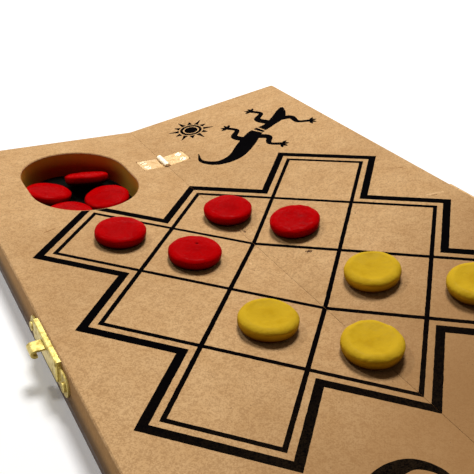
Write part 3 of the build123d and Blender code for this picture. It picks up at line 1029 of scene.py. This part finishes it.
def man_mesh(draws, crown, pocks, hole=None):
    """The profile turned about Z. Low waves and small pocks are pressed into it, never outwards,
    fading to nothing at the foot. Also gives the painted shade of its bored hole, as deep as the hole is
    at each point."""
    radius, height = man_profile(crown)
    turn = np.linspace(0.0, 2.0 * math.pi, man_turns, endpoint=False)
    across = np.outer(radius, np.cos(turn))
    along = np.outer(radius, np.sin(turn))
    lump = np.zeros(across.shape)
    for _ in range(lump_waves):
        wave = draws.normal(0.0, lump_closeness, 3)
        phase = draws.uniform(0.0, lump_phase)
        lump += np.sin(wave[0] * across + wave[1] * along + wave[2] * height[:, None] + phase)
    lump = np.abs(lump) * lump_height
    pits = np.zeros(across.shape)
    for _ in range(pocks):
        centre = draws.uniform(-pock_spread, pock_spread, 2)
        size = draws.uniform(*pock_widths)
        depth = draws.uniform(*pock_depths)
        pits += depth * np.exp(-((across - centre[0]) ** 2 + (along - centre[1]) ** 2) / (2.0 * size**2))
    bored = np.zeros(across.shape)
    if hole:
        from_hole = (across - hole[0]) ** 2 + (along - hole[1]) ** 2
        bored = np.exp(-from_hole / (2.0 * bore_width**2))
        pits += bore_depth * bored
    above = np.clip((height + pock_end) / fading_height, 0.0, 1.0)[:, None]
    pits *= above
    oval = 1.0 - oval_share * (1.0 + np.cos(2.0 * turn + draws.uniform(0.0, math.pi)))
    inset = np.clip(radius / man_radius, 0.0, 1.0)[:, None] * lump
    steady = np.clip((height[:, None] + man_half_thickness) / fading_height, 0.0, 1.0)
    spread = radius[:, None] * oval - inset * (radius > lump_beyond)[:, None]
    level = height[:, None] - (lump * lump_sink + pits) * steady
    points = np.stack([spread * np.cos(turn), spread * np.sin(turn), level], axis=-1)
    index = np.arange(man_turns)
    ahead = np.roll(index, -1)
    ring = np.arange(len(radius) - 1)[:, None] * man_turns
    below = ring + man_turns
    faces = np.stack([ring + index, below + index, below + ahead, ring + ahead], axis=-1)
    # Painted shade in the bored hole.
    pit = np.clip(bored * above * bore_shade, 0.0, 1.0)
    return points.reshape(-1, 3), faces.reshape(-1, 4), pit.ravel()


cloud_closeness = 210.0
fine_closeness = 900.0
fine_share = 0.35
cloud_span = (0.42, 0.74)
cloud_share = (0.0, 0.6)
# Painted shade: how much the middle of a top deepens.
middle_shade_share = 0.5
gloss_wander = 0.16
paint_relief = (0.7, 0.0005)


def enamel(name, bright, deep, low, rough, gloss):
    """Thick enamel: clouds of a deeper tone, a deeper middle on the top that is painted shade in a
    dished top, painted shade on the foot and in the bored hole, and an uneven shine.
    """
    material, tree, shader = new_material(name)
    place = object_place(tree)
    cloud = noise(tree, place, cloud_closeness, 3.0)
    fine = noise(tree, place, fine_closeness, 4.0)
    painted = {}
    for mask in ("foot", "pit", "middle"):
        painted[mask] = put(tree, "ShaderNodeAttribute", attribute_name=mask).outputs["Fac"]
    # Painted shade: the middle of the top deepens in tone, standing for shade in a dished top.
    middle_shade = number_step(tree, "MULTIPLY", painted["middle"], middle_shade_share)
    streaks = number_step(tree, "ADD", stretch(tree, cloud, cloud_span, cloud_share), middle_shade)
    tone = blend_colour(tree, streaks, bright, deep)
    # Painted shade: the foot and the bored hole turn to the low colour.
    tone = blend_colour(tree, painted["foot"], tone, low)
    tone = blend_colour(tree, painted["pit"], tone, low)
    tree.links.new(tone, shader.inputs["Base Color"])
    uneven = stretch(tree, fine, cloud_extent, (rough, rough + gloss_wander))
    tree.links.new(uneven, shader.inputs["Roughness"])
    shader.inputs["Specular IOR Level"].default_value = gloss
    ripple = number_step(tree, "ADD", cloud, number_step(tree, "MULTIPLY", fine, fine_share))
    raise_grain(tree, shader, ripple, paint_relief)
    return material


red_bright = (0.480, 0.0002, 0.0010, 1.0)
red_deep = (0.360, 0.0001, 0.0010, 1.0)
# Painted shade: the foot colours darken the men's lower sides and the bored hole.
red_foot_shade = (0.010, 0.0001, 0.0006, 1.0)
yellow_bright = (0.650, 0.410, 0.020, 1.0)
yellow_deep = (0.540, 0.320, 0.010, 1.0)
yellow_foot_shade = (0.050, 0.006, 0.001, 1.0)
enamels = {
    "red": enamel("red_enamel", red_bright, red_deep, red_foot_shade, 0.18, 0.006),
    "yellow": enamel("yellow_enamel", yellow_bright, yellow_deep, yellow_foot_shade, 0.24, 0.007),
}
# Painted shade: where the darkening of the men's sides begins and how far it runs.
foot_shade_top = 0.0010
foot_shade_fade = 0.0026
middle_start = 1.25
middle_reach = 0.0068
man_weld = 1e-7


def solid_frame(node):
    """The centre and axes of a man's CAD solid: the middle of its extent, and as its axis the
    direction in which its corners spread least."""
    points = np.empty(len(nodes[node].data.vertices) * 3)
    nodes[node].data.vertices.foreach_get("co", points)
    points = points.reshape(-1, 3)
    centre = (points.min(axis=0) + points.max(axis=0)) / 2
    _, _, axes = np.linalg.svd(points - centre, full_matrices=False)
    axis = axes[2] * np.sign(axes[2][2])
    first = np.cross((0.0, 1.0, 0.0), axis)
    first /= np.linalg.norm(first)
    return centre, np.array([first, np.cross(axis, first), axis])


for colour, material in enamels.items():
    for number in range(1, 9):
        node = f"{colour}_disc_{number}"
        draws = np.random.default_rng(seed_starts[colour] + number)
        pocks = pock_counts.get(node, pock_counts[colour])
        points, faces, pits = man_mesh(draws, crowns[colour], pocks, bored_men.get(node))
        centre, axes = solid_frame(node)
        mesh = bpy.data.meshes.new(f"{node}_painted")
        mesh.from_pydata((points @ axes + centre).tolist(), [], faces.tolist())
        mesh.materials.append(material)
        from_axis = np.hypot(points[:, 0], points[:, 1])
        inner = np.clip(middle_start - from_axis / middle_reach, 0.0, 1.0)
        # The foot mask is painted shade on the lower side; the middle mask is painted shade in a dished
        # top.
        masks = {
            "foot": np.clip((foot_shade_top - points[:, 2]) / foot_shade_fade, 0.0, 1.0),
            "pit": pits,
            "middle": np.where(points[:, 2] > 0.0, inner, 0.0),
        }
        for mask, values in masks.items():
            mesh.attributes.new(mask, "FLOAT", "POINT").data.foreach_set("value", values)
        work = bmesh.new()
        work.from_mesh(mesh)
        bmesh.ops.remove_doubles(work, verts=work.verts, dist=man_weld)
        bmesh.ops.recalc_face_normals(work, faces=work.faces)
        for face in work.faces:
            face.smooth = True
        work.to_mesh(mesh)
        work.free()
        man = bpy.data.objects.new(f"{node}_painted", mesh)
        bpy.context.scene.collection.objects.link(man)
        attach(man, f"{node}_body")
        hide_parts(node)
